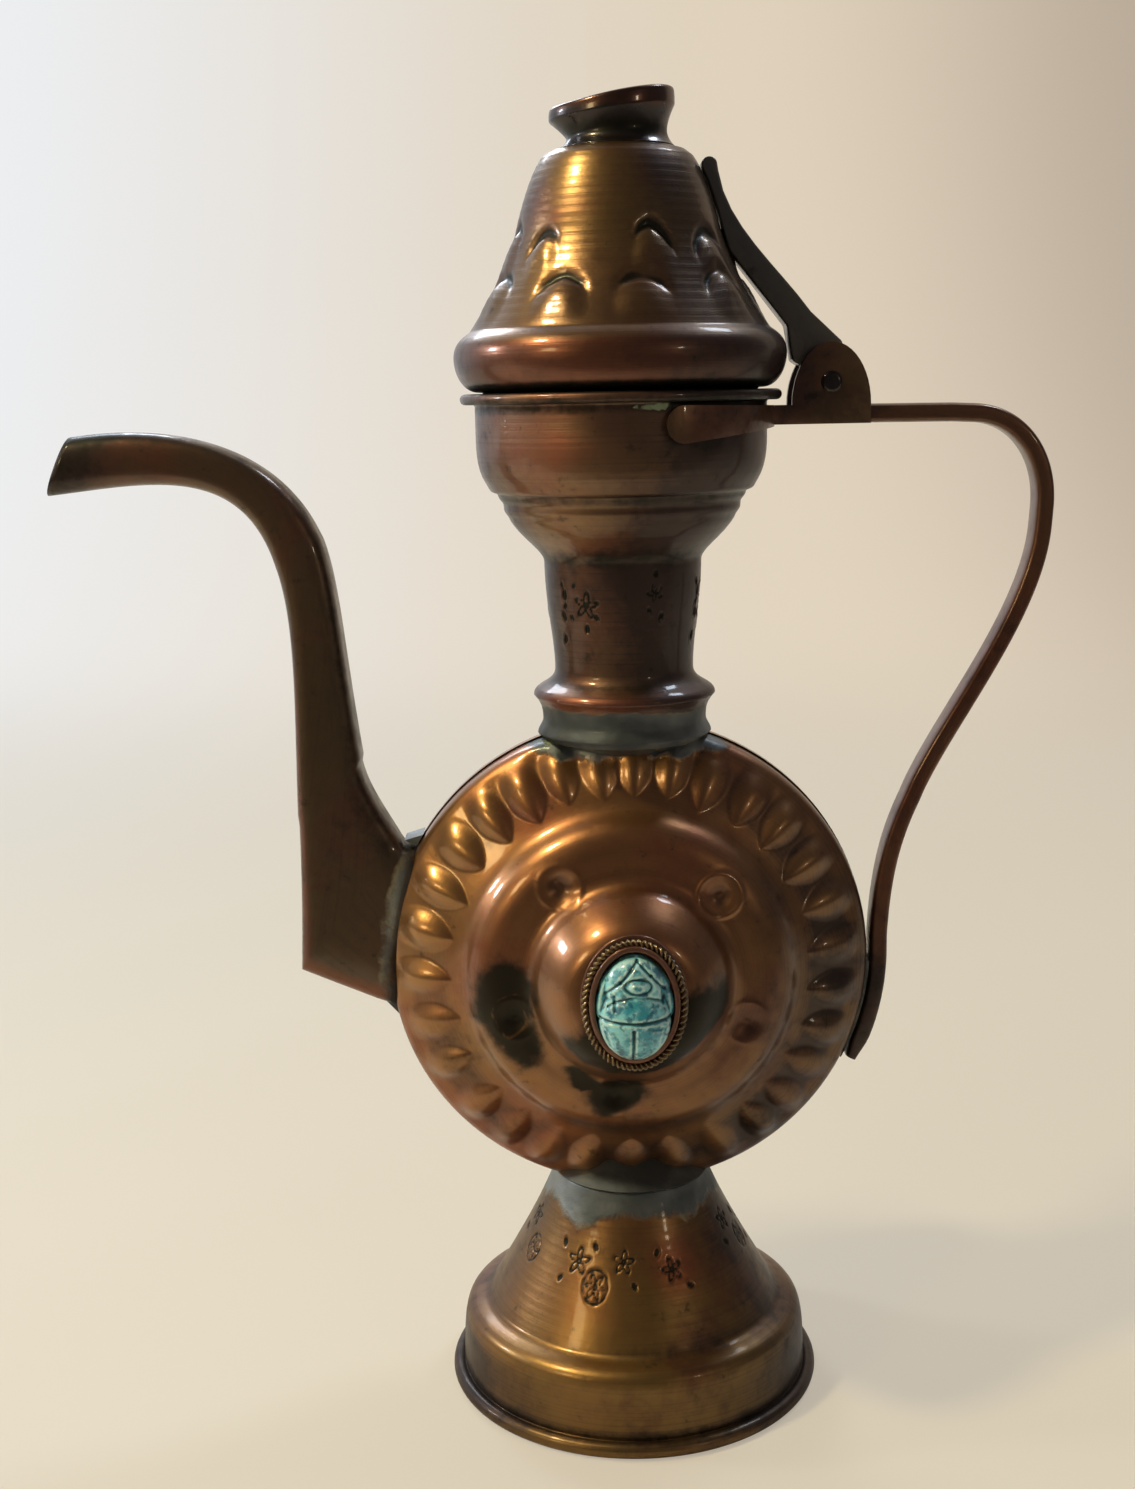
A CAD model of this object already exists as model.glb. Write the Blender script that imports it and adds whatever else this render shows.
import math
import bmesh
import bpy
import numpy as np
from mathutils import Matrix, Vector


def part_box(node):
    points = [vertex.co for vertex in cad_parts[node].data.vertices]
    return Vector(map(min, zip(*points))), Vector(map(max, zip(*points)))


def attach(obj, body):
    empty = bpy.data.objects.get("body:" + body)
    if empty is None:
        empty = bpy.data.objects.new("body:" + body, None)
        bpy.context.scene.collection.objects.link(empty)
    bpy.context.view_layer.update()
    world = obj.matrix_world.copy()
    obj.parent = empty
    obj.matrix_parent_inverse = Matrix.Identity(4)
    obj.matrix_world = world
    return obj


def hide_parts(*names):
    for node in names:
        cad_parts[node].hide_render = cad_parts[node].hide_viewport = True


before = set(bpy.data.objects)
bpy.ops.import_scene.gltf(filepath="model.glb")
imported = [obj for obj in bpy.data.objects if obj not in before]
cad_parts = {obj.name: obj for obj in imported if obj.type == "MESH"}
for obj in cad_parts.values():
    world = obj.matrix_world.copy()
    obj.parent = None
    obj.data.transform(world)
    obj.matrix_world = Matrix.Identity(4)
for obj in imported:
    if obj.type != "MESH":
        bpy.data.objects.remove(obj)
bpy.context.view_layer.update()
bpy.context.scene.view_settings.view_transform = "Standard"

# ---------------------------------------------------------------------------------------------
# The studio. A pale cloth lies under the ewer and rises behind it. The room behind is bright and
# the room in front dark. A warm lamp hangs high on the left, weaker ones stand in front and low on
# the right, and cool windows stand on the left and behind. The camera is close, level with the lid.


class Wire:
    """A socket in a node tree. + - * with wires or numbers add Math nodes; add() adds any node."""

    def __init__(self, tree, socket=None):
        self.tree, self.socket = tree, socket

    def add(self, kind, settings, values, out=0):
        """A node of that type: its settings first, then the sockets' values or wires."""
        node = self.tree.nodes.new("ShaderNode" + kind)
        for key, value in settings.items():
            setattr(node, key, value)
        for key, value in values.items():
            if isinstance(value, Wire):
                self.tree.links.new(value.socket, node.inputs[key])
            else:
                spot = node.inputs[key]
                long = hasattr(spot.default_value, "__len__") and len(spot.default_value) == 4
                spot.default_value = (*value, 1.0) if long and len(value) == 3 else value
        return Wire(self.tree, node.outputs[out] if len(node.outputs) else None)

    def math(self, operation, *others, clamp=False):
        values = {0: self, **{i + 1: o for i, o in enumerate(others)}}
        return self.add("Math", {"operation": operation, "use_clamp": clamp}, values)

    def __add__(self, o):
        return self.math("ADD", o)

    __radd__ = __add__

    def __mul__(self, o):
        return self.math("MULTIPLY", o)

    __rmul__ = __mul__

    def __sub__(self, o):
        return self.math("SUBTRACT", o)

    def __rsub__(self, o):
        return (self * -1.0) + o

    def step(self, low, high):
        """0 below low, 1 above high, smooth between."""
        return self.add("MapRange", {"interpolation_type": "SMOOTHSTEP"},
                        {"Value": self, "From Min": low, "From Max": high})

    def mix(self, low, high):
        """The colour low where this wire is 0 and high where it is 1."""
        return self.add("Mix", {"data_type": "RGBA"}, {0: self, 6: low, 7: high}, out=2)


def blank(name):
    """A new material with an empty node tree, and the Wire that builds in it."""
    made = bpy.data.materials.new(name)
    made.use_nodes = True
    made.node_tree.nodes.clear()
    return made, Wire(made.node_tree)


def put(name, data):
    """A new object with that data, in the scene, at the origin."""
    made = bpy.data.objects.new(name, data)
    bpy.context.scene.collection.objects.link(made)
    return made


def lamp(name, place, aim, width, power, colour):
    """A square soft lamp of that width in metres at place, turned towards aim."""
    data = bpy.data.lights.new(name, "AREA")
    data.shape, data.size, data.energy, data.color = "SQUARE", width, power, colour
    made = put(name, data)
    turn = (Vector(aim) - Vector(place)).to_track_quat("-Z", "Y").to_matrix().to_4x4()
    made.matrix_world = Matrix.Translation(place) @ turn


lamp("lamp left", (-0.37, -0.13, 0.60), (0.0, 0.0, 0.11), 0.065, 2.0, (1.0, 0.86, 0.48))
lamp("lamp front", (-0.487, -0.42, 0.335), (0.0, 0.0, 0.10), 0.11, 0.55, (1.0, 0.80, 0.40))
lamp("lamp right", (0.56, -0.68, 0.36), (0.0, 0.0, 0.12), 0.05, 0.3, (1.0, 0.86, 0.60))
lamp("window left", (-0.84, 0.14, 0.42), (0.0, 0.0, 0.12), 0.10, 2.0, (0.80, 0.90, 1.0))
lamp("window behind left", (-0.38, 0.90, 0.82), (0.0, 0.0, 0.12), 0.34, 4.0, (0.78, 0.88, 1.0))
lamp("window behind right", (0.52, 0.45, 1.05), (0.0, 0.0, 0.12), 0.20, 3.0, (0.75, 0.87, 1.0))

sky = bpy.data.worlds.new("daylight")
bpy.context.scene.world = sky
sky.use_nodes = True
sky.node_tree.nodes.clear()
air = Wire(sky.node_tree)
way = air.add("TexCoord", {}, {}, out="Generated")
side, depth = (air.add("SeparateXYZ", {}, {0: way}, out=k) for k in "XY")
room = depth.step(0.05, 0.50).mix((0.054, 0.051, 0.058), (0.80, 0.79, 0.78))
room = (side * -1.0).step(0.55, 0.95).mix(room, (0.36, 0.31, 0.24))
room = side.step(0.25, 0.80).mix(room, (0.10, 0.09, 0.085))
room = air.add("LightPath", {}, {}, out="Is Camera Ray").mix(room, (0.80, 0.77, 0.72))
glow = air.add("Background", {}, {"Color": room, "Strength": 1.0})
air.add("OutputWorld", {}, {"Surface": glow})

# The cloth's side line in metres (y, z): flat, then a quarter circle, then straight up.
CLOTH_HALF_WIDTH, CLOTH_FRONT, CLOTH_TOP, BEND_START, BEND_RADIUS = 3.0, -3.0, 2.6, 0.8, 0.7
bend = np.linspace(0, math.pi / 2, 17)
quarter = np.stack([BEND_START + BEND_RADIUS * np.sin(bend),
                    BEND_RADIUS - BEND_RADIUS * np.cos(bend)], 1)
sweep = np.vstack([[(CLOTH_FRONT, 0.0)], quarter, [(BEND_START + BEND_RADIUS, CLOTH_TOP)]])
ends = len(sweep)
floor_mesh = bpy.data.meshes.new("floor")
floor_mesh.from_pydata([(x, y, z) for x in (-CLOTH_HALF_WIDTH, CLOTH_HALF_WIDTH)
                        for y, z in sweep.tolist()], [],
                       [(i, i + ends, i + ends + 1, i + 1) for i in range(ends - 1)])
floor_mesh.polygons.foreach_set("use_smooth", np.ones(ends - 1, bool))
floor = put("floor", floor_mesh)
cloth, w = blank("floor cloth")
spot = w.add("TexCoord", {}, {}, out="Object")
across, away = (w.add("SeparateXYZ", {}, {0: spot}, out=k) for k in "XY")
seen = w.add("LightPath", {}, {}, out="Is Camera Ray")
mirrored = w.add("LightPath", {}, {}, out="Is Glossy Ray")
lit = w.add("BsdfPrincipled", {}, {"Base Color": (0.80, 0.73, 0.60), "Roughness": 0.9,
                                   "Specular IOR Level": 0.1})
paper = (across * -1.0).step(-0.2, 0.70).mix((0.80, 0.69, 0.54), (0.93, 0.96, 1.0))
paper = across.step(0.15, 0.60).mix(paper, (0.52, 0.43, 0.34))
near = (away * -1.0).step(0.06, 0.24)          # in mirrors the cloth ends in front of the ewer
paper = (mirrored * near).mix(paper, (0.060, 0.052, 0.048))
pale = w.add("Emission", {}, {"Color": paper, "Strength": 1.0})
rising = away.step(0.3, 1.0)
share = seen * (0.50 + 0.40 * rising) + mirrored * (0.05 + 0.70 * rising + 0.85 * near)
cover = w.add("MixShader", {}, {0: share, 1: lit, 2: pale})
w.add("OutputMaterial", {}, {"Surface": cover})
floor_mesh.materials.append(cloth)

# The camera looks along +Y, down by pitch, and leans by roll. A thing as far away as
# VIEW_LENGTHS times its own height fills the frame from top to bottom.
eye = Vector((-0.01013, -0.3105, 0.1772))
pitch, roll = math.radians(10.84), math.radians(1.15)
VIEW_LENGTHS, FILM = 1.208865, 36.0
level, up = Vector((1, 0, 0)), Vector((0, math.sin(pitch), math.cos(pitch)))
right = level * math.cos(roll) - up * math.sin(roll)
above = level * math.sin(roll) + up * math.cos(roll)
back = right.cross(above)
lens = bpy.data.cameras.new("camera")
lens.sensor_fit, lens.sensor_height, lens.sensor_width = "VERTICAL", FILM, FILM
lens.lens = FILM * VIEW_LENGTHS
lens.clip_start = 0.01
camera = put("camera", lens)
camera.matrix_world = Matrix.Translation(eye) @ Matrix((right, above, back)).transposed().to_4x4()
bpy.context.scene.camera = camera

# ---------------------------------------------------------------------------------------------
# The foot. Spun copper sheet, 1 mm thick: a rolled edge on the table, an upright wall, a rounded
# shoulder and a cone. Small punched rosettes and leaves run round the cone. Its upper end is
# grey where the solder that holds it to the flask has run.


def curve(a, b, c, d, n=24):
    """Points on a cubic curve that meets a and d and is pulled by b and c, with the weights
    u^3, 3u^2 t, 3u t^2 and t^3, where t runs from 0 to 1 and u is 1 - t."""
    t = np.linspace(0, 1, n + 1)[:, None]
    u = 1 - t
    return (u ** 3 * np.array(a) + 3 * u * u * t * np.array(b) + 3 * u * t * t * np.array(c)
            + t ** 3 * np.array(d))


def round_about(centre, radius, start, end, n=16):
    """Points on an arc round centre, from one angle to another in degrees."""
    t = np.radians(np.linspace(start, end, n + 1))
    return np.array(centre) + radius * np.stack([np.cos(t), np.sin(t)], 1)


def even(path, step):
    """The path with a point at every step along it: lengths are summed and then interpolated."""
    path = np.vstack(path)
    run = np.concatenate([[0], np.cumsum(np.linalg.norm(np.diff(path, axis=0), axis=1))])
    keep = np.concatenate([[True], np.diff(run) > 1e-6])
    t = np.linspace(0, run[-1], max(2, int(round(run[-1] / step)) + 1))
    return np.stack([np.interp(t, run[keep], path[keep, k]) for k in range(path.shape[1])], 1)


def beside(path, t):
    """The path moved to its left by t, square to the direction between each point's neighbours."""
    v = np.gradient(path, axis=0)
    v /= np.linalg.norm(v, axis=1, keepdims=True)
    return path + t * np.stack([-v[:, 1], v[:, 0]], 1)


def surface(name, grid, rows_closed, layers):
    """Mesh of a grid of points in mm whose columns close on themselves; equal points become one,
    a cell with a side of no length becomes a triangle, and a negative volume turns all faces."""
    m, n = grid.shape[:2]
    flat = np.round(grid.reshape(-1, 3) / 1000, 8)
    points, first, same = np.unique(flat, axis=0, return_index=True, return_inverse=True)
    same = same.reshape(m, n)
    low, high = (same, np.roll(same, -1, 0)) if rows_closed else (same[:-1], same[1:])
    quads = np.stack([low, np.roll(low, -1, 1), np.roll(high, -1, 1), high], -1).reshape(-1, 4)
    p = points[quads]
    volume = np.sum(np.cross(p[:, 0], p[:, 1]) * p[:, 2] + np.cross(p[:, 0], p[:, 2]) * p[:, 3])
    if volume < 0:
        quads = quads[:, ::-1]
    flat_low = quads[:, 0] == quads[:, 1]
    flat_high = quads[:, 2] == quads[:, 3]
    whole = ~(flat_low | flat_high)
    faces = quads[whole].tolist() + quads[flat_low & ~flat_high][:, 1:].tolist() \
        + quads[flat_high & ~flat_low][:, :3].tolist()
    mesh = bpy.data.meshes.new(name)
    mesh.from_pydata(points.tolist(), [], faces)
    for key, values in layers.items():
        layer = mesh.attributes.new(key, "FLOAT", "POINT")
        layer.data.foreach_set("value", np.broadcast_to(values, (m, n)).reshape(-1)[first]
                               .astype(np.float32))
    mesh.polygons.foreach_set("use_smooth", np.ones(len(mesh.polygons), bool))
    mesh.update()
    return put(name, mesh)


def noise(*axes, seed=0, waves=5, rough=0.5):
    """Smooth uneven values of about -1 to 1: sines in slanted directions at doubling rates."""
    rng = np.random.default_rng(seed)
    total, size = 0.0, 1.0
    for k in range(waves):
        slant = rng.normal(size=(3, len(axes))) * 2.0 ** k
        shift = rng.uniform(0, 6.3, 3)
        total = total + size * sum(np.sin(sum(s * a for s, a in zip(row, axes)) + h)
                                   for row, h in zip(slant, shift)) / 3
        size *= rough
    return total


def ramp(x, low, high):
    """0 below low and 1 above high, with the smooth step 3t^2 - 2t^3 between."""
    t = np.clip((x - low) / (high - low), 0, 1)
    return t * t * (3 - 2 * t)


def bell_curve(x, middle, width):
    """exp(-d^2) with d the distance from the middle, in widths: 1 at the middle, 0 far away."""
    return np.exp(-((x - middle) / width) ** 2)


def turned(name, outer, inner, turns, place, relief, layers):
    """Sheet metal spun round an axis. The closed outline (up the outer path, down the inner one)
    is carried through every angle; each outer point moves out along its normal by relief mm."""
    outer, inner = np.asarray(outer), np.asarray(inner)
    angle = np.linspace(0, 2 * math.pi, turns, endpoint=False)[None, :]
    run = np.concatenate([[0], np.cumsum(np.linalg.norm(np.diff(outer, axis=0), axis=1))])[:, None]
    normal = beside(outer, -1) - outer
    lift = relief(angle, outer[:, :1], outer[:, 1:]) + np.zeros((len(outer), turns))
    radius = outer[:, :1] + normal[:, :1] * lift
    height = outer[:, 1:] + normal[:, 1:] * lift
    radius = np.where(outer[:, :1] < 1e-6, 0, radius)
    back_r, back_h = inner[::-1, :1] + 0 * angle, inner[::-1, 1:] + 0 * angle
    grid = place(np.vstack([radius, back_r]), angle, np.vstack([height, back_h]))
    values = {"along": np.vstack([run + 0 * angle, back_r * 0]),
              "relief": np.vstack([lift, back_r * 0])}
    for key, rule in layers.items():
        values[key] = np.vstack([rule(angle, outer[:, :1], outer[:, 1:]) + lift * 0, back_r * 0])
    return surface(name, grid, True, values)


def upright(radius, angle, height):
    """Angles run from the scarab's side (-Y) towards the handle (+X)."""
    return np.stack([radius * np.sin(angle), -radius * np.cos(angle), height + 0 * angle], -1)


def apart(angle, centre):
    """Signed difference in radians between an angle and a centre in degrees, within half a turn."""
    return (angle - math.radians(centre) + math.pi) % (2 * math.pi) - math.pi


def side_on(angle):
    """1 on the scarab's side, falling to a half on the far side, which is less tarnished."""
    return 0.5 + 0.5 * ramp(np.cos(angle), -0.6, 0.2)


def fit(piece, node, body_name, material):
    """The piece stands for its CAD node, rides on its body and takes its material."""
    piece.data.materials.clear()
    piece.data.materials.append(material)
    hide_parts(node)
    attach(piece, body_name)


def aged_metal(name, tone, gold, red, ring_rate=1.6, ring_depth=0.5, rough=0.44, gloom=0.5,
               coat=0.8, solder=0.0, dents=0.0):
    """Old copper alloy under a worn gloss: the tone drifts to gold and to red in broad clouds.
    Brown and black tarnish lies in clouds, streaks, hollows and patches, and on the sides that
    hands rub less (the layer aged). Raised places are rubbed bright, and fine rings from the
    lathe follow the outline. Grey solder with a scorched edge and green crust come from the
    mesh's own layers, or solder covers all of it."""
    made, w = blank(name)
    spot = w.add("TexCoord", {}, {}, out="Object")

    def cloud(size, detail=4.0, rugged=0.55, shift=0.0):
        """Noise whose blotches are about size millimetres across."""
        at = w.add("Mapping", {}, {"Vector": spot, "Location": (shift, shift, shift)})
        return w.add("TexNoise", {}, {"Vector": at, "Scale": 450.0 / size, "Detail": detail,
                                      "Roughness": rugged})

    def layer(key):
        return w.add("Attribute", {"attribute_name": key}, {}, out="Fac")

    relief, patch, tin, crust, along, ruddy, aged = map(
        layer, ("relief", "patch", "tin", "crust", "along", "ruddy", "aged"))
    tin = tin + solder
    broad, middling = cloud(30), cloud(9, 5.0, 0.62, shift=3.0)
    fine = cloud(1.3, 6.0, 0.6, shift=7.0)
    colour = broad.step(0.36, 0.62).mix(tone, gold)
    colour = (middling.step(0.46, 0.66) * 0.75).mix(colour, red)
    colour = (ruddy * (0.4 + 0.9 * middling)).step(0.25, 0.75).mix(colour, red)
    hollow = (relief * -1.6).step(0.05, 0.9)
    raised = relief.step(0.35, 1.5)
    colour = (raised * 0.35).mix(colour, tuple(min(1.0, 1.4 * c) for c in gold))
    specks = fine.step(0.62, 0.74) * 0.55
    rings = w.add("TexNoise", {"noise_dimensions": "1D"},
                  {"W": along * ring_rate, "Scale": 1.0, "Detail": 3.0, "Roughness": 0.7})
    stain = (patch + (fine - 0.5) * 0.8 + (middling - 0.5) * 0.9).step(0.26, 0.90)
    veil = middling.step(0.44, 0.68) * 0.50 + broad.step(0.46, 0.62) * 0.35 \
        + fine.step(0.42, 0.72) * 0.25 + rings.step(0.48, 0.70) * 0.20 + patch.step(0.0, 0.9) * 0.55
    brown = (veil * gloom + aged).math("MAXIMUM", hollow * gloom).math("MINIMUM", 0.93, clamp=True)
    colour = brown.mix(colour, (0.046, 0.034, 0.034))
    dark = specks.math("MAXIMUM", stain).math("MAXIMUM", brown * 0.6)
    colour = (specks.math("MAXIMUM", stain) * 0.95).mix(colour, (0.017, 0.017, 0.013))
    grey = (tin + (middling - 0.5) * 1.1 + (fine - 0.5) * 0.6).step(0.30, 0.72)
    lumps, pale = cloud(3.2, 3.0, 0.6, shift=11.0), cloud(7.0, 3.0, 0.5, shift=19.0)
    colour = grey.mix(colour, pale.step(0.40, 0.72).mix((0.095, 0.106, 0.116),
                                                        (0.30, 0.315, 0.31)))
    scorch = grey * (1.0 - grey) * 4.0 * lumps.step(0.48, 0.62)
    colour = (scorch * 0.45).mix(colour, (0.25, 0.21, 0.13))
    green = (crust + (fine - 0.5) * 1.1 + (middling - 0.5) * 0.8).step(0.45, 0.60)
    colour = green.mix(colour, (0.24, 0.30, 0.20))
    gloss = rough + (middling - 0.5) * 0.30 + dark * 0.10 + grey * 0.14 + (fine - 0.5) * 0.16
    bumps = rings * ring_depth * (1.0 - grey) + fine * (0.45 + 1.4 * grey + 1.2 * green) \
        + middling * (1.2 + 1.0 * grey) + lumps * (grey * 2.4 + dents)
    bump = w.add("Bump", {}, {"Strength": 0.35, "Distance": 0.00025, "Height": bumps})
    dull = (dark * 0.2).math("MAXIMUM", green * 0.86).math("MAXIMUM", scorch * 0.4)
    shine = w.add("BsdfPrincipled", {}, {
        "Base Color": colour, "Metallic": 0.86 - dull, "Roughness": gloss,
        "Coat Weight": coat * (1.0 - 0.85 * grey) * (1.0 - 0.8 * dark) * (1.0 - 0.4 * fine),
        "Coat Roughness": 0.09, "Specular IOR Level": 0.2, "Normal": bump})
    w.add("OutputMaterial", {}, {"Surface": shine})
    return made


COPPER = aged_metal("worn copper", (0.26, 0.126, 0.050), (0.31, 0.180, 0.058),
                    (0.26, 0.086, 0.038), ring_depth=0.22, rough=0.38, gloom=0.60, coat=0.28)
BRONZE = aged_metal("brown bronze", (0.22, 0.110, 0.074), (0.26, 0.145, 0.074),
                    (0.30, 0.105, 0.062), ring_depth=0.3, rough=0.42, gloom=0.60)

# Outlines are in mm: radius and height, from the table up.
foot_outer = np.vstack([
    [[30.6, 0.0], [32.25, 0.0]], round_about((32.25, 1.35), 1.35, -90, 130),
    curve([31.5, 3.0], [31.35, 8.8], [31.2, 11.2], [30.6, 12.7]),
    curve([30.6, 12.7], [30.3, 13.5], [29.6, 14.0], [28.8, 14.3]),
    curve([28.8, 14.3], [27.6, 14.8], [26.5, 14.9], [26.1, 15.9]),
    curve([26.1, 15.9], [22.6, 22.0], [17.0, 31.0], [13.8, 39.6])])
foot_inner = np.vstack([
    [[30.5, 0.02], [30.4, 8.8], [30.0, 11.4], [28.6, 12.3]],
    curve([28.6, 12.3], [26.4, 13.0], [25.4, 13.8], [24.9, 15.8], 6),
    curve([24.9, 15.8], [21.6, 21.4], [16.1, 30.6], [12.85, 39.5], 8)])
# Punches on the cone: angle from the front in degrees, height, size in mm, kind and turn.
FOOT_PUNCHES = [
    (-20.3, 24.9, 2.8, "rosette", 0), (-31.5, 28.2, 2.4, "sprig", 18), (-43, 30.4, 1.0, "leaf", 15),
    (-40, 25.0, 0.9, "leaf", -40), (-23, 30.8, 0.9, "leaf", 30), (-6.5, 28.9, 2.1, "sprig", 12),
    (-1, 25.4, 1.0, "leaf", 40), (19, 27.4, 2.0, "sprig", 30), (12, 30.2, 0.9, "leaf", -20),
    (27, 24.6, 0.9, "leaf", 60), (66, 31.4, 2.0, "sprig", 10), (78, 27.0, 2.4, "rosette", 0),
    (59, 28.2, 1.0, "leaf", 60)]


def punched(marks, spins, depth):
    """Sum of the punches' prints at (angle, radius, height). A leaf is a dented ellipse with a
    ridge down its middle. A sprig is the outline of five petals, radius 0.58 + 0.27 cos 5t, round
    a dot. A rosette is an oval line round the outline of six petals and a dot. The whole row of
    marks is struck again at each of the spins, in degrees."""
    def rule(angle, radius, height):
        total = np.zeros(np.broadcast(angle, radius).shape)
        for centre, tall, size, kind, turn in marks:
            for spin in spins:
                a = apart(angle, centre + spin)
                rows = np.abs(height[:, 0] - tall) < 1.6 * size
                u, v = (a * radius)[rows], (height - tall + 0 * angle)[rows]
                c, s = math.cos(math.radians(turn)), math.sin(math.radians(turn))
                u, v = c * u + s * v, c * v - s * u
                if kind == "leaf":
                    q = np.hypot(u / (0.55 * size), v / size)
                    mark = (1 - ramp(q, 0.55, 1.0)) * (0.55 + 0.45 * ramp(np.abs(u), 0.05, 0.3))
                    mark = mark - 0.25 * bell_curve(q, 1.15, 0.18)
                elif kind == "sprig":
                    q, t = np.hypot(u, v) / size, np.arctan2(v, u)
                    petals = bell_curve(q, 0.58 + 0.27 * np.cos(5 * t), 0.12)
                    mark = petals * (0.85 + 0.15 * np.sin(2 * t + centre)) \
                        + 0.9 * bell_curve(q, 0.14, 0.09)
                else:
                    q, t = np.hypot(u / 0.92, v) / size, np.arctan2(v, u)
                    rim = bell_curve(q, 0.90, 0.085) * (0.8 + 0.2 * np.cos(9 * t))
                    petals = bell_curve(q, 0.50 + 0.20 * np.cos(6 * t + 0.6), 0.10)
                    mark = rim + 0.8 * petals + 0.8 * bell_curve(q, 0.12, 0.08)
                    mark = mark * (0.8 + 0.2 * np.sin(2.3 * t + centre))
                total[rows] += depth * mark
        return -total
    return rule


FOOT_TURNS, FOOT_STEP = 535, 0.30
foot_prints = punched(FOOT_PUNCHES, (0, 128, 216), 0.26)
foot = turned(
    "foot_shell", even([foot_outer], FOOT_STEP), foot_inner, FOOT_TURNS, upright,
    relief=lambda a, r, h: foot_prints(a, r, h)
    + 0.10 * noise(np.cos(a), np.sin(a), h / 14, seed=3, waves=3) * ramp(h, 1.0, 6.0)
    + 0.006 * np.sin(h * 4.1) * ramp(h, 15, 18),
    layers={
        "tin": lambda a, r, h: 0.9 * ramp(
            h + 2.2 * noise(3 * np.cos(a), 3 * np.sin(a), seed=8), 32.4, 37.0),
        "patch": lambda a, r, h: 0.60 * bell_curve(h, 3.3, 1.3) + 0.40 * bell_curve(h, 15.8, 1.6)
        + np.minimum(1.2, -6.0 * np.minimum(foot_prints(a, r, h), 0)),
        "aged": lambda a, r, h: side_on(a) * (
            0.55 * ramp(apart(a, 35), -0.5, 0.6) + 0.45 * ramp(-apart(a, -52), -0.1, 0.5))
        + 0.20 * ramp(-h, -13, -9) + 0.15 * ramp(h, 24, 32)
        + 0.35 * ramp(-h, -13, -10) * ramp(-apart(a, -30), -0.1, 0.4)
        - 0.45 * bell_curve(h, 20, 4.5) * bell_curve(apart(a, -20), 0, 0.30),
        "ruddy": lambda a, r, h: 0.9 * bell_curve(h, 28, 7) * bell_curve(apart(a, 22), 0, 0.4)})
fit(foot, "foot", "ewer", COPPER)

# ---------------------------------------------------------------------------------------------
# The flask. Two pressed copper halves, soldered rim to rim. Round each runs a band of thirty
# raised drops, struck by hand with their points inwards, then a crease, a valley with five
# dished dimples, and a domed boss. Dark patches are left from heat and old polish.

BODY_Z = float(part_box("seam_solder")[0][2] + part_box("seam_solder")[1][2]) * 500     # mm, middle
FLASK_R, BOSS_TOP = 42.3, 27.6
# The outline of one half: radius from its middle and height above the seam.
shell_outer = np.vstack([
    [[FLASK_R - 0.2, 0.0], [FLASK_R, 0.3]],
    curve([FLASK_R, 2.5], [FLASK_R, 4.1], [41.9, 4.9], [40.8, 5.7], 12),
    curve([31.8, 10.7], [29.2, 12.1], [28.8, 12.6], [27.8, 14.2], 12),
    curve([27.8, 14.2], [26.4, 16.4], [24.2, 17.4], [21.0, 17.4])[1:],
    curve([21.0, 17.4], [17.4, 17.4], [17.1, 18.8], [16.0, 21.0])[1:],
    curve([16.0, 21.0], [13.4, 25.2], [11.9, 27.3], [9.5, BOSS_TOP]),
    [[0.0, BOSS_TOP]]])
shell_inner = np.vstack([
    [[41.0, 0.02], [41.2, 2.4], [40.4, 4.7], [31.4, 9.8], [28.3, 11.5], [26.9, 13.7], [24.2, 15.8],
     [21.0, 16.4], [17.2, 16.8], [15.2, 20.2], [12.6, 24.4], [9.3, 26.6], [0.0, 26.6]]])
# Drops by their angle from the top, clockwise; dimples by angle and distance from the middle.
LOBES = [2, 12, 22.5, 35, 47, 60, 72, 84.5, 97, 109, 120.5, 132, 142, 154, 168, 180, 193, 205, 217,
         228, 242, 254.5, 268, 282, 295, 307.5, 319, 330, 341, 352.5]
DIMPLES = [(45, 21.2), (111, 21.0), (189, 20.6), (253, 21.0), (325, 20.8)]


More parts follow.
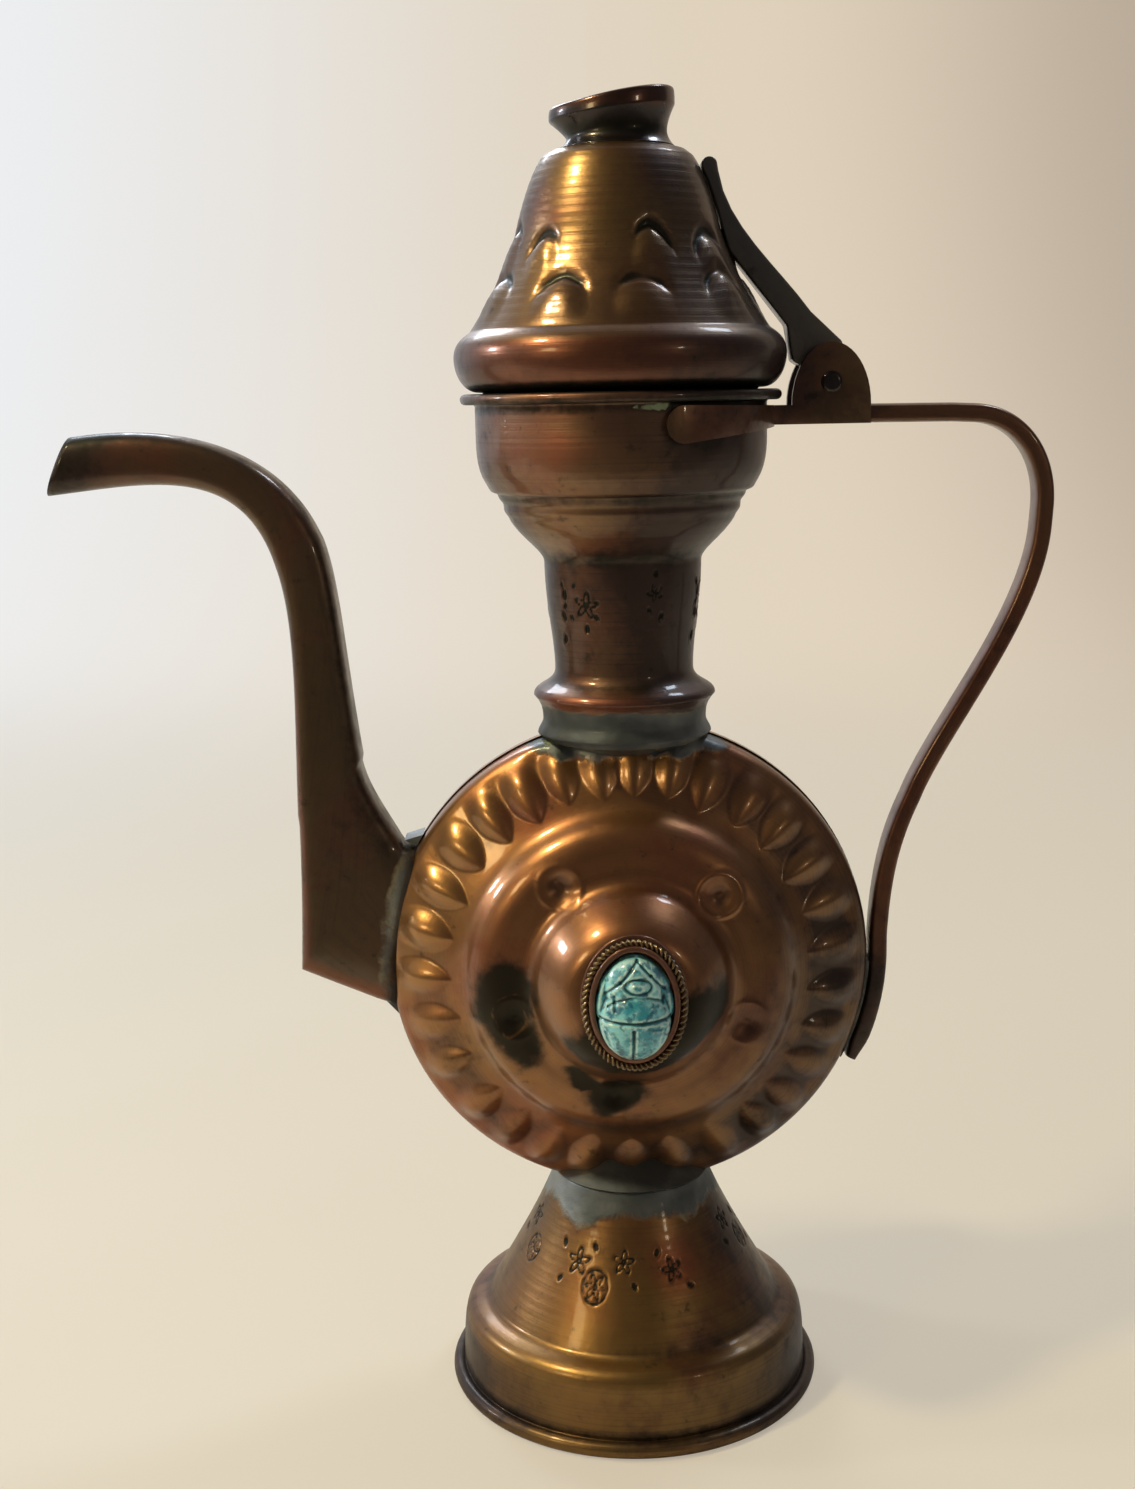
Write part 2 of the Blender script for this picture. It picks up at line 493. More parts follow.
def struck(angle, radius, height):
    """A drop is a dome, (1 - across^2)^1.7 high. Its width and height grow as 1 - (1 - t)^2 from a
    pointed tip at radius 31, and it falls as (1 - t^2)^1.6 to a round end at 41. A dimple is a
    lipped bowl. Solder lies in lumps, half a millimetre thick, where the collar stands."""
    total = np.zeros(np.broadcast(angle, radius).shape)
    r = radius + 0 * angle
    for k, centre in enumerate(LOBES):
        a = apart(angle, centre)
        tip, end = 30.9 + 0.4 * math.sin(k * 2.3), 41.2
        t = np.clip((r - tip) / (end - tip), 0, 1)
        inner, outer = np.minimum(t / 0.55, 1), np.clip((t - 0.55) / 0.45, 0, 1)
        grow = 1 - (1 - inner) ** 2
        half = (3.75 + 0.22 * math.sin(k * 3.1)) * grow ** 0.85 * np.sqrt(1 - 0.35 * outer ** 2)
        across = np.minimum(np.abs(a * r + 0.3 * math.sin(k * 5.3)) / np.maximum(half, 0.05), 1)
        lift = (1 - across ** 2) ** 1.7 * grow * (1 - outer ** 2) ** 1.6
        total += (1.45 + 0.2 * math.sin(k * 1.7)) * lift * (height < 12.6) * (height > 3.6)
    for k, (centre, out) in enumerate(DIMPLES):
        x = r * np.sin(apart(angle, centre))
        y = r * np.cos(apart(angle, centre)) - out
        q = np.hypot(x, y) / 3.4
        near = height > 14.0
        total -= 0.95 * (1 - ramp(q, 0.05, 0.95)) * near
        total += (0.30 if k == 0 else 0.14) * bell_curve(q, 1.08, 0.13) * near
        total += 0.16 * bell_curve(q, 0, 0.15) * near
    total += 0.06 * noise(2 * np.cos(a), 2 * np.sin(a), r / 9, seed=5, waves=3) * ramp(-r, -41, -38)
    x, z = r * np.sin(angle), r * np.cos(angle)
    spill = ramp(z + 0.8 * noise(x / 3, seed=43), 36.0, 38.5) \
        * ramp(-np.abs(x), -19.5, -15) * ramp(-r, -42.2, -41.4)
    lumps = 1 + 0.8 * noise(x / 1.6, z / 1.6, height / 1.6, seed=44, waves=2)
    return total + 0.45 * spill * lumps


def stained(angle, radius, height):
    """Dark patches on the front: 1 inside uneven ellipses (x, z, half sizes in mm, turn) and in a
    crescent under the setting, fainter in broader ones, 0 outside, with a scratched ring left
    open round one dimple."""
    x, z = radius * np.sin(angle), radius * np.cos(angle)
    ring = np.hypot((x + 20.9 + 0.3 * np.sin(z)) / 2.7, (z + 5.4 + 0.3 * np.sin(1.4 * x)) / 3.8)
    x, z = x + 1.3 * noise(x / 3.6, z / 3.6, seed=12), z + 1.3 * noise(x / 3.9, z / 3.9, seed=13)
    total = 0
    for cx, cz, sx, sz, turn in [(-21.3, -3.6, 5.6, 8.6, 10), (-18.0, -10.0, 4.2, 5.4, -38),
                                 (-3.4, -20.4, 5.8, 3.4, 4), (-8.0, -17.0, 5.0, 1.6, -30)]:
        c, s = math.cos(math.radians(turn)), math.sin(math.radians(turn))
        u, v = c * (x - cx) + s * (z - cz), c * (z - cz) - s * (x - cx)
        total = np.maximum(total, 1.1 * (1 - ramp(np.hypot(u / sx, v / sz), 0.35, 1.50)))
    for cx, cz, sx, sz in [(-30, -15, 8, 12), (-22, -28, 9, 7), (22, -29, 11, 8), (34, -4, 6, 18),
                           (2, -35, 16, 5), (25, 12, 6, 14), (0, -27, 16, 4)]:
        faint = 1 - ramp(np.hypot((x - cx) / sx, (z - cz) / sz), 0.2, 1.3)
        total = np.maximum(total, 0.42 * faint)
    below = (angle + 0 * radius) % (2 * math.pi)
    around = ramp(below, math.radians(62), math.radians(95)) \
        * ramp(-below, -math.radians(262), -math.radians(225))
    reach = 13.2 + 3.2 * bell_curve(apart(below, 100), 0, 0.42) \
        + 1.6 * bell_curve(apart(below, 215), 0, 0.5)
    total = np.maximum(total, around * (1 - ramp(np.hypot(x, z) - reach, -1.2, 1.6)))
    return total * (1 - 0.32 * bell_curve(ring, 1.0, 0.09))


def facing(side):
    """Angles run clockwise from the top as seen from the front. Height is the depth from the
    seam, towards the scarab's side where side is -1."""
    def place(radius, angle, height):
        return np.stack([radius * np.sin(angle), side * (height + 0 * angle),
                         BODY_Z + radius * np.cos(angle)], -1)
    return place


FLASK = aged_metal("pressed copper", (0.30, 0.136, 0.060), (0.34, 0.176, 0.064),
                   (0.31, 0.102, 0.050), ring_rate=2.2, ring_depth=0.12, rough=0.36, gloom=0.55,
                   coat=0.75)
FLASK_TURNS = 620
CREASE, CREASE_END = 15, 17         # points of the outline inside the drops, where it is finest
outline = np.vstack([even([shell_outer[:CREASE + 1]], 0.5),
                     even([shell_outer[CREASE:CREASE_END + 1]], 0.27)[1:],
                     even([shell_outer[CREASE_END:]], 0.42)[1:]])
for side, node in ((-1, "body_front"), (1, "body_back")):
    half = turned(
        node + "_shell", outline, shell_inner, FLASK_TURNS, facing(side), relief=struck,
        layers={
            "patch": stained if side < 0 else (lambda a, r, h: 0.5 * bell_curve(r, 30, 2)),
            "tin": lambda a, r, h: 0.45 * ramp(-h, -1.6, -0.6) + 0.95
            * ramp(r * np.cos(a) + 1.8 * noise(r * np.sin(a) / 3, h / 3, seed=17), 35.2, 38.6)
            * ramp(-np.abs(r * np.sin(a) + 0 * h), -20, -14),
            "crust": lambda a, r, h: 0.55 * bell_curve(apart(a, -17) + 0 * r, 0, 0.10)
            * ramp(r, 39.6, 41.0),
            "ruddy": lambda a, r, h: 0.35 + 0.6 * ramp(-r * np.cos(a), 10, 34)
            * ramp(-r * np.sin(a) + 0 * h, 2, 22),
            "aged": lambda a, r, h: 0.46 * ramp(
                1.2 * r * np.sin(a) - 0.3 * r * np.cos(a) + 0 * h, -8, 42)
            + 0.32 * ramp(r, 31, 33.5) * ramp(-r, -39.5, -37.5) * ramp(-struck(a, r, h), -0.7, 0)
            - 0.25 * ramp(-r * np.sin(a) + r * np.cos(a), 18, 45)})
    fit(half, node, "ewer", FLASK)

# ---------------------------------------------------------------------------------------------
# The neck and cup. One spun sheet: a collar, a moulded ring, a flaring neck with punched marks,
# a bowl with a stepped shoulder, an upright wall and a flat flange for the lid.

NECK_Z = float(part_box("neck_cup")[0][2]) * 1000
FLANGE_Z = float(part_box("neck_cup")[1][2]) * 1000
z0, top = NECK_Z, NECK_Z + 30.0         # the collar's lower edge and the neck's upper end
neck_outer = np.vstack([
    curve([14.2, z0], [14.2, z0 + 4], [14.2, z0 + 5], [15.8, z0 + 6.8]),
    curve([15.8, z0 + 6.8], [15.8, z0 + 8.6], [12.0, z0 + 8.6], [12.0, z0 + 11.4]),
    curve([12.0, z0 + 11.4], [12.0, z0 + 17], [13.4, top - 8], [13.5, top]),
    curve([13.5, top], [14.0, top + 2.4], [19.2, top + 4.6], [20.5, top + 10]),
    curve([21.2, top + 11], [23.7, top + 13.2], [24.7, top + 15.6], [24.7, top + 20.4]),
    [[24.7, FLANGE_Z - 1.95], [24.9, FLANGE_Z - 1.8], [26.3, FLANGE_Z - 1.8]],
    round_about((26.3, FLANGE_Z - 0.9), 0.9, -90, 90, 12)])
neck_inner = np.vstack([
    [[13.2, z0 + 0.02], [13.2, z0 + 4.5]],
    curve([13.2, z0 + 4.5], [14.8, z0 + 6.4], [14.6, z0 + 7.6], [11.2, z0 + 9.4], 6),
    curve([11.2, z0 + 9.4], [11.0, z0 + 17], [12.4, top - 8], [12.5, top + 1], 5),
    curve([12.5, top + 1], [13.0, top + 3.2], [18.3, top + 5.4], [19.6, top + 10.4], 6),
    curve([20.3, top + 11.6], [22.8, top + 13.8], [23.7, top + 16], [23.7, top + 20.4], 6),
    [[23.7, FLANGE_Z]]])
NECK_PUNCHES = [
    (-30.3, 143.4, 2.5, "sprig", 10), (-52, 146.6, 0.8, "leaf", 20), (-50, 143.2, 0.9, "leaf", -30),
    (-44, 141.2, 0.8, "leaf", 50), (-22, 141.4, 0.9, "leaf", 40), (-30.4, 139.4, 1.0, "leaf", 0),
    (-40, 146.6, 0.7, "leaf", -20), (22, 145.4, 1.6, "sprig", 40), (17.5, 142.6, 0.8, "leaf", 30),
    (27, 141.4, 0.9, "leaf", -10), (22, 148.6, 0.8, "leaf", 10), (70, 145.0, 1.3, "leaf", 0),
    (67.6, 141.4, 1.2, "leaf", 20), (66, 137.4, 1.1, "leaf", -20)]
neck_prints = punched(NECK_PUNCHES, (0, 118, 240), 0.32)


def neck_rings(a, r, h):
    """Turned lines: thin grooves and beads, as bell curves of the depth under the flange, and fine
    lathe ripple. The collar's lower edge spreads out by 0.9 mm on the solder, and its skin is
    lumpy."""
    z = h - FLANGE_Z
    lumps = 0.9 * ramp(-h, -NECK_Z - 2.6, -NECK_Z) \
        + 0.20 * noise(5 * np.cos(a), 5 * np.sin(a), h / 1.8, seed=41, waves=2) \
        * ramp(-h, -NECK_Z - 6, -NECK_Z - 4)
    lines = sum(lift * bell_curve(z, -under, width) for lift, under, width in [
        (-0.28, 16.9, 0.32), (0.16, 16.0, 0.5), (-0.14, 18.6, 0.4), (0.10, 19.6, 0.5),
        (-0.08, 20.8, 0.4)])
    return neck_prints(a, r, h) + lumps + lines + 0.008 * np.sin(h * 5.2) * ramp(h, 132, 136) \
        + 0.05 * noise(np.cos(a), np.sin(a), h / 9, seed=9, waves=3)


NECK_TURNS, NECK_STEP = 465, 0.36
neck = turned(
    "neck_cup_shell", even([neck_outer], NECK_STEP), neck_inner, NECK_TURNS, upright,
    relief=neck_rings,
    layers={
        "tin": lambda a, r, h: 0.85 * ramp(-h + 1.0 * noise(2 * np.cos(a), 2 * np.sin(a), seed=4),
                                           -NECK_Z - 6.4, -NECK_Z - 4.6),
        "patch": lambda a, r, h: 0.40 * ramp(r, 24.9, 25.6)
        + 0.5 * ramp(h, FLANGE_Z - 0.3, FLANGE_Z - 0.1)
        + 0.70 * bell_curve(h, FLANGE_Z - 2.6, 1.2) + 0.5 * bell_curve(h, NECK_Z + 9.4, 0.9)
        + 0.55 * bell_curve(h, FLANGE_Z - 17.4, 1.3) + 0.55 * bell_curve(h, top + 1.0, 2.2)
        + 0.60 * bell_curve(r * np.sin(a), 12, 7.5) * bell_curve(h, FLANGE_Z - 7.5, 3.4)
        * (np.cos(a) > 0) - 5.0 * np.minimum(neck_prints(a, r, h), 0),
        "aged": lambda a, r, h: side_on(a) * (
            0.72 * ramp(apart(a, 4), -0.6, 0.7) + 0.55 * ramp(-apart(a, -54), -0.1, 0.35))
        + 0.30 * ramp(-h, -top - 3, -top + 2) * ramp(h, NECK_Z + 8, NECK_Z + 12)
        - 0.32 * bell_curve(apart(a, -32), 0, 0.30) * ramp(h, top, top + 3) + 0 * h,
        "crust": lambda a, r, h: 0.80 * bell_curve(h, FLANGE_Z - 2.6, 1.1)
        * bell_curve(apart(a, 9), 0, 0.20),
        "ruddy": lambda a, r, h: 0.9 * bell_curve(h, NECK_Z + 6.8, 1.6)
        + 0.7 * bell_curve(h, FLANGE_Z - 9, 5) * bell_curve(apart(a, -22), 0, 0.4)})
fit(neck, "neck_cup", "ewer", BRONZE)

# ---------------------------------------------------------------------------------------------
# The lid. A spun copper bell that sits on the flange: a fat bead at its edge with a low rim inside
# the cup, a bright hollow above it, and two uneven tiers of arches pressed into its flank.

z1 = float(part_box("lid_bell")[0][2]) * 1000
lid_outer = np.vstack([
    [[22.5, z1 - 1.8], [23.2, z1 - 1.8], [23.2, z1 - 0.05]],
    curve([24.1, z1], [26.3, z1 + 0.1], [28.0, z1 + 2.6], [28.0, z1 + 5.6]),
    curve([28.0, z1 + 5.6], [28.0, z1 + 8], [26.4, z1 + 9], [25.2, z1 + 9.8])[1:],
    curve([25.2, z1 + 9.8], [22.6, z1 + 13.8], [18.2, z1 + 20.4], [16.8, z1 + 27]),
    curve([16.8, z1 + 27], [15.6, z1 + 31.4], [14.4, z1 + 35], [12.6, z1 + 37.6]),
    [[11.4, z1 + 38.5], [9.7, z1 + 39.0], [0.0, z1 + 39.0]]])
lid_inner = np.vstack([
    [[22.5, z1 - 1.75], [22.5, z1 + 1.2], [25.4, z1 + 1.9], [26.9, z1 + 4.4], [27.0, z1 + 6.0],
     [26.0, z1 + 8.0], [24.4, z1 + 9.2], [20.9, z1 + 14.4], [17.4, z1 + 20.6], [15.8, z1 + 27],
     [13.6, z1 + 34.4], [11.4, z1 + 37.2], [8.6, z1 + 38.0], [0.0, z1 + 38.0]]])
# Arches: angle from the front in degrees, then the crown's height, half the width and the fall in
# mm, and the strength.
LOW_ARCHES = [(-69.5 + 40 * k + 3 * math.sin(2.1 * k), 197.0 - 0.8 * math.sin(k),
               5.5 + 0.4 * math.sin(3 * k), 5.4, 1.0 + 0.15 * math.cos(2 * k)) for k in range(9)]
HIGH_ARCHES = [
    (-42.7, 203.4, 3.7, 5.2, 0.9), (15.0, 203.9, 4.1, 5.6, 1.1), (52, 203.4, 4.6, 6.6, 1.1),
    (92, 205.6, 4.4, 7.0, 0.9), (130, 204.8, 4.6, 7.0, 1.0), (170, 205.6, 4.4, 7.0, 0.9),
    (210, 205.0, 4.6, 6.8, 1.0), (248, 205.4, 4.3, 7.0, 0.9), (284, 204.6, 4.2, 6.6, 0.9)]


def arched(angle, radius, height):
    """An arch is a groove along a half ellipse, deepest at the crown, and inside it the sheet
    swells like a tongue that fades downwards. A low ripple from the lathe runs over the flank."""
    total = np.zeros(np.broadcast(angle, radius).shape)
    for k, (centre, crown, half, fall, strength) in enumerate(LOW_ARCHES + HIGH_ARCHES):
        u = apart(angle, centre) * radius / half
        point = 0.10 * math.sin(2.7 * k) + 0.10
        v = (height - crown) / fall + 1.0 + 0 * angle \
            + point * (np.abs(u) - 0.4 + 0.12 * math.sin(k))
        q = np.hypot(u, np.maximum(v, 0) * (0.96 + 0.04 * u * u))
        upper = ramp(v + 0.25 * u * math.sin(3.3 * k), 0.38, 0.95)
        groove = bell_curve(q, 0.95, 0.10 + 0.08 * upper) * upper
        swell = (1 - ramp(q, 0.25, 1.0)) * ramp(v, -0.9, 0.8)
        total += strength * (-0.55 * groove + 0.75 * swell)
    flank = ramp(height, z1 + 10, z1 + 13) * ramp(-height, -z1 - 38, -z1 - 36)
    ripple = 0.016 * np.sin(height * 4.3) + 0.007 * np.sin(height * 9.1 + 1)
    return total * ramp(height, z1 + 9.5, z1 + 12) + ripple * flank \
        + 0.06 * noise(np.cos(angle), np.sin(angle), height / 12, seed=21, waves=3)


LID = aged_metal("bell copper", (0.20, 0.102, 0.056), (0.26, 0.158, 0.060), (0.22, 0.080, 0.046),
                 ring_rate=3.0, ring_depth=0.35, rough=0.33, gloom=0.45, coat=0.55)
BELL_TURNS, BELL_STEP = 590, 0.32
bell = turned(
    "lid_bell_shell", np.vstack([even([lid_outer[:-2]], BELL_STEP), lid_outer[-2:]]), lid_inner,
    BELL_TURNS, upright, relief=arched,
    layers={
        "patch": lambda a, r, h: 0.8 * ramp(-h, -z1 - 1.8, -z1 - 0.4)
        + 0.25 * ramp(-h, -z1 - 9, -z1 - 6)
        + np.minimum(1.0, 2.4 * np.maximum(0, -arched(a, r, h) - 0.05)),
        "aged": lambda a, r, h: side_on(a) * (
            0.62 * ramp(apart(a, 5), -0.30, 0.45) + 0.55 * ramp(-apart(a, -45), -0.1, 0.5))
        + 0.08 * ramp(-h, -z1 - 9.0, -z1 - 7.0)
        + 0.42 * bell_curve(h, z1 + 12.5, 3.5) * bell_curve(apart(a, -26), 0, 0.3)
        - 0.30 * bell_curve(apart(a, -26), 0, 0.22) * ramp(h, z1 + 15, z1 + 19),
        "ruddy": lambda a, r, h: 0.8 * ramp(-h, -z1 - 8.8, -z1 - 7.4) + 0 * a})
fit(bell, "lid_bell", "lid", LID)

# ---------------------------------------------------------------------------------------------
# The finial. A little jug mouth of sheet bronze soldered on the bell: a dark waist, then a thick
# rolled lip that is high at the back and falls to a pinched beak towards the spout.

FINIAL_Z = float(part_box("lid_finial")[0][2]) * 1000
MOUTH_R, MOUTH_TALL, MOUTH_WALL, LIP_R = 8.3, 9.6, 1.5, 0.75


def mouth_wall(angle, k):
    """Radius and height of the wall at share k of its height: a fillet at its foot, a waist, a
    lip that swells and rolls over at the top, and a beak that grows as cos^5 towards the spout."""
    front = np.maximum(0, -np.cos(angle)) ** 5
    fillet = 1.4 * np.maximum(0, 1 - k / 0.28) ** 2
    lip = 1.3 * np.clip((k - 0.3) / 0.4, 0, 1) ** 1.5 - 1.6 * np.maximum(0, k - 0.82) ** 1.3
    r = MOUTH_R + fillet + lip + 1.6 * front * np.clip((k - 0.25) / 0.4, 0, 1)
    return r, MOUTH_TALL * (0.83 + 0.17 * np.cos(angle)) * k


turn = np.linspace(0, 2 * math.pi, 200, endpoint=False)[None, :]
r_out, h_out = mouth_wall(turn, np.linspace(0, 0.93, 44)[:, None])
roll = np.linspace(0.15, 1, 12)[:, None] * math.pi
r_lip = r_out[-1:] - LIP_R + LIP_R * np.cos(roll)
h_lip = h_out[-1:] + 0.62 * np.sin(roll) - 0.05
r_in, h_in = mouth_wall(turn, np.linspace(0.90, 0, 14)[:, None])
r_all = np.vstack([r_out, r_lip, r_in - MOUTH_WALL])
h_all = np.minimum(np.vstack([h_out, h_lip, h_in]), MOUTH_TALL)
grid = np.stack([r_all * np.cos(turn), r_all * np.sin(turn), FINIAL_Z + h_all], -1)
finial = surface("lid_finial_mouth", grid, True,
                 {"along": h_all, "relief": 1.1 * ramp(h_all, 7.6, 9.0),
                  "patch": 0.8 * bell_curve(h_all, 2.4, 2.0),
                  "ruddy": 0.9 * ramp(h_all, 4.5, 6.5)})
SMOKED = aged_metal("smoked bronze", (0.044, 0.034, 0.036), (0.044, 0.036, 0.036),
                    (0.085, 0.038, 0.028), ring_rate=0.0, ring_depth=0.0, rough=0.30, coat=0.6)
fit(finial, "lid_finial", "lid", SMOKED)

# ---------------------------------------------------------------------------------------------
# The spout. A tube folded from sheet bronze and soldered along its edges: broad and flat-sided
# at the flask, round at its slanting mouth.

SPOUT_WALL = 1.0
x, z = -57.5, BODY_Z + 93.0         # the straight back of the tube, and the top of its mouth
low_z, high_z = BODY_Z + 25, BODY_Z + 37         # where the lower and upper lines turn in


def line_of(*stretches):
    """Curves end to end: the first starts at a point of its own, the others where the last ended.
    A stretch is its number of steps and then the points of its curve."""
    points, start = [], None
    for steps, *pulls in stretches:
        knots = pulls if start is None else [start] + pulls
        points.append(curve(*knots, steps)[:-1])
        start = knots[-1]
    return np.vstack(points + [[start]])


# The tube's upper and lower lines from the mouth to the flask, in mm (x, z), point for point.
high = line_of(
    (54, [-93.5, z], [-76.0, z + 2.4], [x - 2.5, z - 1.8], [x + 4.6, z - 15.1]),
    (6, [x + 5.05, z - 16.0], [x + 5.45, z - 16.9], [x + 5.9, z - 17.8]),
    (42, [x + 8.5, z - 25], [x + 8.8, z - 38], [x + 11.3, high_z]),
    (6, [x + 11.25, high_z - 0.5], [x + 11.15, high_z - 0.9], [x + 11.1, high_z - 1.4]),
    (18, [x + 12.0, high_z - 6], [-42.4, high_z - 10.5], [-40.0, high_z - 14.9]),
    (6, [-39.7, high_z - 15.4], [-39.3, high_z - 16.0], [-39.0, high_z - 16.5]))
low = line_of(
    (54, [-97.7, z - 9.8], [-80.4, z - 8.0], [x - 7.4, z - 4.6], [x - 2.2, z - 22]),
    (6, [x - 2.0, z - 22.7], [x - 1.8, z - 23.3], [x - 1.6, z - 24]),
    (42, [x + 1, z - 34], [x, z - 48], [x - 0.2, low_z + 2]),
    (6, [x - 0.15, low_z + 1.3], [x - 0.05, low_z + 0.7], [x, low_z]),
    (18, [x, low_z - 7], [x - 0.2, low_z - 16], [x - 0.8, low_z - 26.2]),
    (6, [-53, low_z - 28.5], [-47.5, low_z - 30.8], [-42.3, low_z - 33.0]))
rim_y, rim_r = shell_outer[:CREASE + 1, 1], shell_outer[:CREASE + 1, 0]


def tube(inset):
    """Sections of the tube: a superellipse between the low and high line, |cos|^(2/p) along and
    |sin|^(2/p) across, whose power p grows from 2.5 at the mouth to 5 at the flask. Each is
    smaller all round by inset mm, and the last one ends on the flask's rim."""
    share = np.linspace(0, 1, len(low))[:, None]
    t = np.linspace(0, 2 * math.pi, 56, endpoint=False)[None, :]
    power = 2.5 + 2.5 * share
    c = np.sign(np.cos(t)) * np.abs(np.cos(t)) ** (2 / power)
    s = np.sign(np.sin(t)) * np.abs(np.sin(t)) ** (2 / power)
    middle, reach = (low + high) / 2, high - low
    size = np.linalg.norm(reach, axis=1, keepdims=True)
    reach = reach / size * (size / 2 - inset)
    width = 8.6 + 2.4 * share - 2 * inset
    grid = np.stack([middle[:, :1] + reach[:, :1] * c, width / 2 * s,
                     middle[:, 1:] + reach[:, 1:] * c], -1)
    end = grid[-1]
    end[:, 0] = -np.sqrt(np.interp(np.abs(end[:, 1]), rim_y, rim_r) ** 2
                         - (end[:, 2] - BODY_Z) ** 2) - 0.15
    return grid, share + 0 * t, c + 0 * share


shell, share, across = tube(0.0)
hollow, share_in, _ = tube(SPOUT_WALL)
spout = surface(
    "spout_tube", np.vstack([shell, hollow[::-1]]), True,
    {"along": np.vstack([share * 40 + across * 6, share_in * 0]),
     "relief": np.vstack([1.3 * ramp(np.abs(across), 0.90, 0.99), share_in * 0]),
     "ruddy": np.vstack([ramp(share, 0.45, 0.7) * ramp(-across, 0.55, 0.95), share_in * 0]),
     "patch": np.vstack([0.30 * ramp(across, 0.5, 0.9) + 0.22 + 0.30 * ramp(-share, -0.10, -0.01),
                         share_in * 0 + 0.4]),
     "aged": np.vstack([0.55 * ramp(-share, -0.12, -0.02), share_in * 0 + 0.4]),
     "tin": np.vstack([0.75 * ramp(-np.hypot(shell[..., 0], shell[..., 2] - BODY_Z), -47.0, -42.6),
                       share_in * 0])})
SPOUT = aged_metal("folded bronze", (0.130, 0.074, 0.050), (0.135, 0.088, 0.048),
                   (0.20, 0.072, 0.040), ring_rate=1.0, ring_depth=0.2, rough=0.40, gloom=0.60)
fit(spout, "spout", "ewer", SPOUT)

# ---------------------------------------------------------------------------------------------
# The handle. One flat copper strap with rounded edges: out from the cup between the hinge
# plates, round the bend and down to the flask's rim, where solder holds it.

STRAP_THICK, STRAP_WIDE, SEAM_PROUD, SOLDER_FILM, TAIL = 3.2, 6.0, 0.1, 0.6, 20.0
x, z = 72.0, float(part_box("handle")[1][2]) * 1000 - STRAP_THICK / 2
rim = FLASK_R + SEAM_PROUD + SOLDER_FILM + STRAP_THICK / 2
drop = [math.asin(TAIL * k / 30 / rim) for k in range(1, 31)]
# The strap's middle line in mm (x, z): from the hinge, round the bend, to its tail on the rim.
strap = even([[[25.35, z], [41.8, z], [56.0, z - 0.1]],
              curve([x - 12, z - 0.3], [x - 4.5, z - 0.8], [x + 0.4, z - 7.5], [x, z - 16], 40),
              curve([x - 0.2, z - 19], [x - 1, z - 34], [x - 15, z - 51.4], [x - 21, z - 64.4], 40),
              curve([x - 22, z - 66.8], [x - 25.8, z - 75], [rim + 0.5, BODY_Z + 12],
                    [rim, BODY_Z + 3], 30),
              [[rim * math.cos(a), BODY_Z - rim * math.sin(a)] for a in drop]], 0.5)


def bar(path, thick, wide, power, around=36):
    """A closed bar along a path in the XZ plane: at each point a superellipse, thick across the
    path and wide along Y, shrunk to a point at both ends."""
    v = np.gradient(path, axis=0)
    v /= np.linalg.norm(v, axis=1, keepdims=True)
    side = np.stack([-v[:, 1], v[:, 0]], 1)
    t = np.linspace(0, 2 * math.pi, around, endpoint=False)[None, :]
    c = np.sign(np.cos(t)) * np.abs(np.cos(t)) ** (2 / power)
    s = np.sign(np.sin(t)) * np.abs(np.sin(t)) ** (2 / power)
    thick, wide = thick[:, None], wide[:, None]
    grid = np.stack([path[:, :1] + side[:, :1] * thick / 2 * c, wide / 2 * s,
                     path[:, 1:] + side[:, 1:] * thick / 2 * c], -1)
    ends = [np.repeat(np.array([[[p[0], 0, p[1]]]]), around, 1) for p in (path[0], path[-1])]
    return np.vstack([ends[0], grid, ends[1]]), c + 0 * thick


run = np.linspace(0, 1, len(strap))
taper = 1 - 0.35 * ramp(run, 0.97, 1.0)
grid, across = bar(strap, STRAP_THICK * taper, STRAP_WIDE * (1 - 0.12 * ramp(run, 0.95, 1.0)), 4.2)
edge = np.vstack([across[:1], across, across[-1:]])
tail = ramp(np.linspace(0, 1, len(grid)), 0.84, 0.92)[:, None] + 0 * edge
handle = surface("handle_strap", grid, False,
                 {"along": np.arange(len(grid))[:, None] * 0.5 + 0 * edge,
                  "relief": 0.7 * ramp(np.abs(edge), 0.8, 1.0) - 0.1,
                  "ruddy": 0.6 + 0 * edge, "patch": 0.22 + 0.20 * tail, "aged": 0.55 * tail})
STRAP = aged_metal("strap copper", (0.155, 0.082, 0.054), (0.160, 0.094, 0.054),
                   (0.21, 0.074, 0.038), ring_rate=0.0, ring_depth=0.0, rough=0.40, gloom=0.62,
                   dents=1.2)
fit(handle, "handle", "ewer", STRAP)

# ---------------------------------------------------------------------------------------------
# The setting's rope. Two thin wires of old brass, twisted together, run in an oval round the
# bezel and lie on the setting's plate.

BRASS = aged_metal("old brass", (0.26, 0.185, 0.100), (0.22, 0.165, 0.090), (0.21, 0.125, 0.065),
                   ring_rate=0.0, ring_depth=0.0, rough=0.36, gloom=0.55)
STONE_HALF_WIDE, STONE_HALF_TALL, BEZEL, PLATE_THICK, FIT, ROPE_R = 6.5, 9.0, 0.9, 0.9, 0.1, 0.65
STRAND_R, STRAND_OFF, TWISTS = 0.36, 0.31, 30
HALF_WIDE, HALF_TALL = (half + BEZEL + FIT + ROPE_R for half in (STONE_HALF_WIDE, STONE_HALF_TALL))
PLATE_FACE = BOSS_TOP + FIT + PLATE_THICK
strand_t = np.linspace(0, 2 * math.pi, 900, endpoint=False)[:, None]
